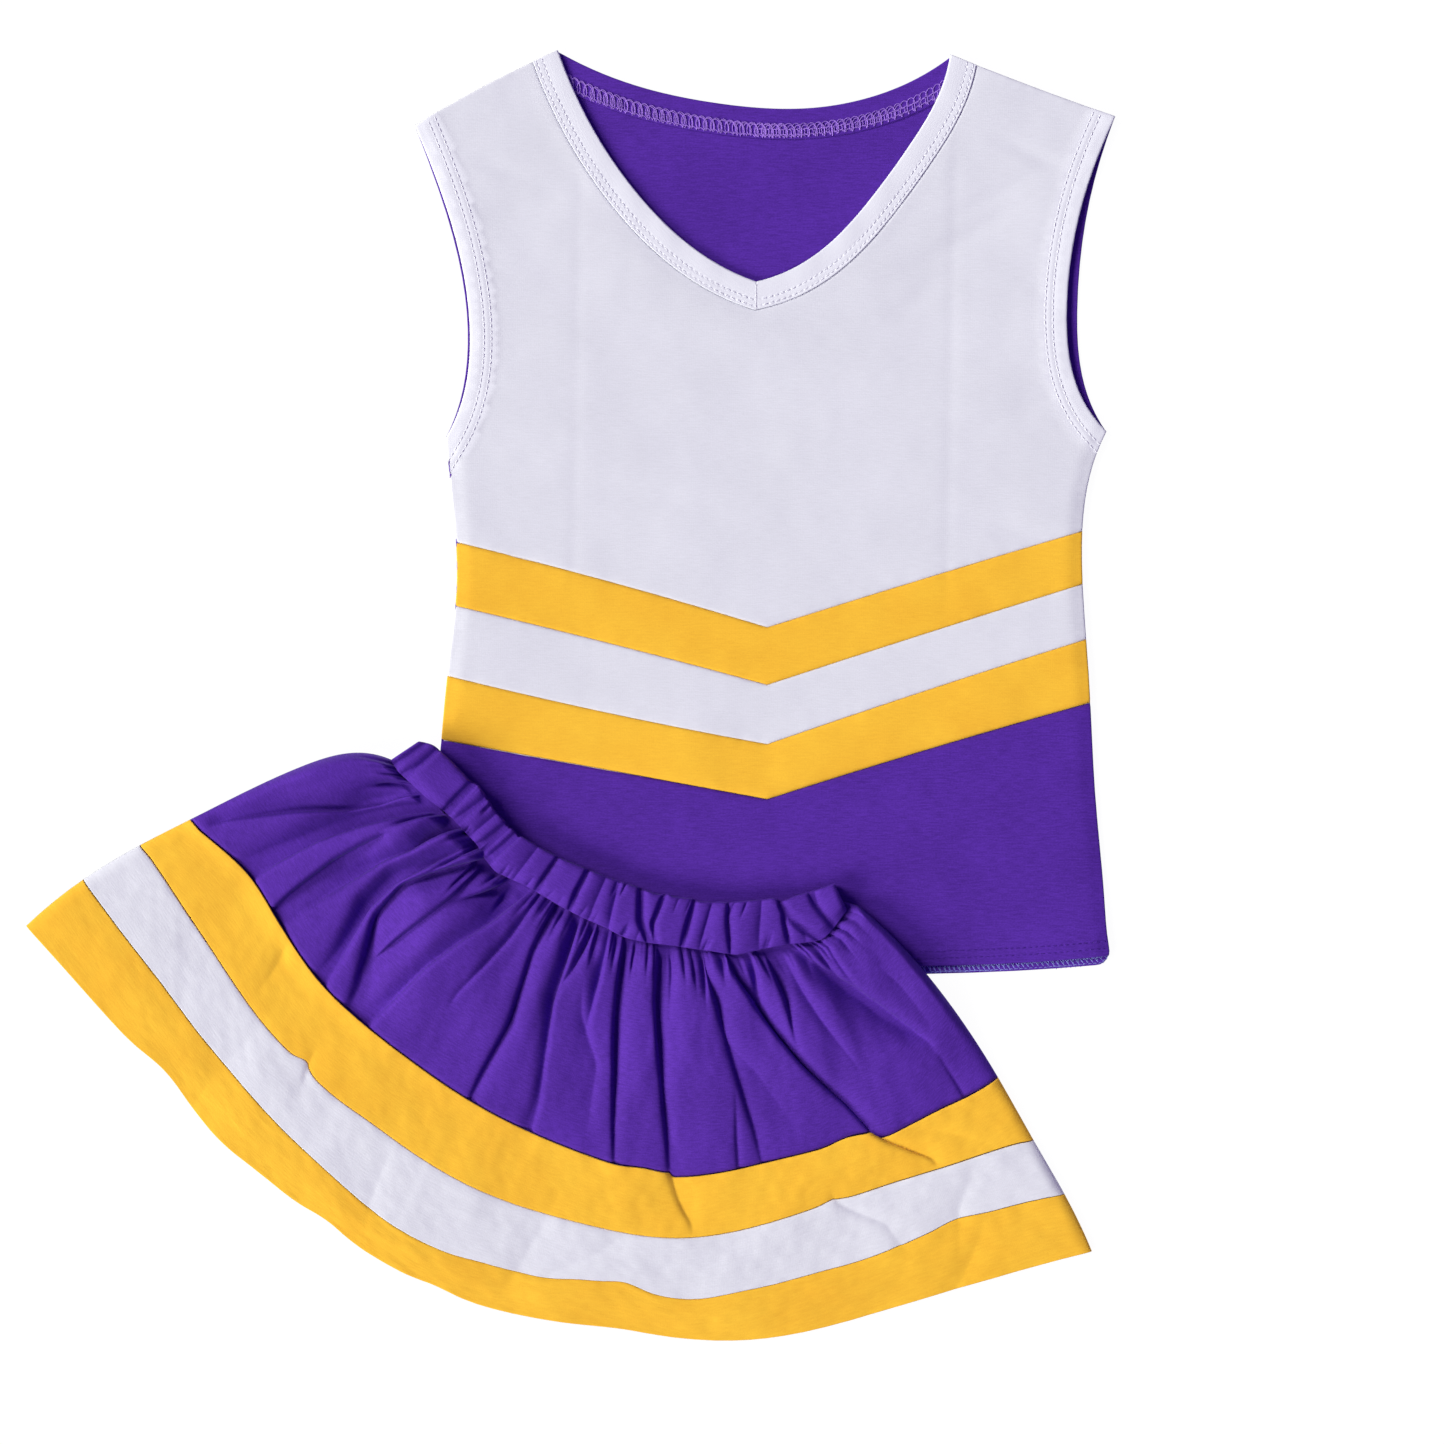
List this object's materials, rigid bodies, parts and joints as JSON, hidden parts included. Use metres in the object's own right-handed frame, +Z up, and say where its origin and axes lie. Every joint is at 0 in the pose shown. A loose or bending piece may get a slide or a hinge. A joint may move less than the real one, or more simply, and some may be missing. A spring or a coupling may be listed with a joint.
{
  "type": "cheer uniform",
  "caption": "Toddler cheer uniform laid flat: a sleeveless V-neck top with a chevron of stripes, and a gathered, striped pull-on skirt lying across its lower corner.",
  "frame": {"origin": "on the table under the middle of the outfit's bounding box", "axes": "+Z up out of the table, +Y from the hem of the top towards its neck, +X to the viewer's right, which is the wearer's left"},
  "size_m": [0.4945, 0.5856, 0.0134],
  "materials": {
    "white_jersey": "matt cotton jersey",
    "gold_jersey": "matt cotton jersey",
    "purple_jersey": "matt cotton jersey",
    "white_thread": "polyester sewing thread",
    "purple_thread": "polyester sewing thread",
    "elastic": "woven elastic tape"
  },
  "bodies": {
    "top": {"front_yoke": "white_jersey", "chevron_middle_white": "white_jersey", "neckband_left": "white_jersey", "neckband_right": "white_jersey", "chevron_upper_gold": "gold_jersey", "chevron_lower_gold": "gold_jersey", "back_panel": "purple_jersey", "front_lower_panel": "purple_jersey", "back_neck_binding": "purple_jersey", "neck_topstitch_left": "white_thread", "neck_topstitch_right": "white_thread", "neckband_mitre_stitch": "white_thread", "armhole_stitch_front_left": "white_thread", "armhole_stitch_front_right": "white_thread", "yoke_seam_overlock": "white_thread", "upper_gold_seam_overlock": "white_thread", "middle_white_seam_overlock": "white_thread", "shoulder_seam_left": "white_thread", "shoulder_seam_right": "white_thread", "back_neck_coverstitch": "purple_thread", "armhole_stitch_back_left": "purple_thread", "armhole_stitch_back_right": "purple_thread", "hem_stitch_front": "purple_thread", "hem_loops_back": "purple_thread", "lower_gold_seam_overlock": "purple_thread", "side_seam_left": "purple_thread", "side_seam_right": "purple_thread"},
    "skirt": {"skirt_body_front": "purple_jersey", "skirt_body_back": "purple_jersey", "waistband_front": "purple_jersey", "waistband_back": "purple_jersey", "skirt_gold_band_front": "gold_jersey", "skirt_gold_band_back": "gold_jersey", "skirt_hem_band_front": "gold_jersey", "skirt_hem_band_back": "gold_jersey", "skirt_white_band_front": "white_jersey", "skirt_white_band_back": "white_jersey", "skirt_body_seam_front": "purple_thread", "skirt_body_seam_back": "purple_thread", "skirt_side_seam_left": "purple_thread", "skirt_side_seam_right": "purple_thread", "waist_seam_front": "purple_thread", "waist_seam_back": "purple_thread", "skirt_gold_seam_front": "white_thread", "skirt_gold_seam_back": "white_thread", "skirt_white_seam_front": "white_thread", "skirt_white_seam_back": "white_thread", "waist_elastic": "elastic"}
  },
  "joints": [
    {"name": "skirt_lift", "type": "slide", "parent": "top", "child": "skirt", "axis": [0, 0, 1], "range_m": [0, 0.15]}
  ]
}
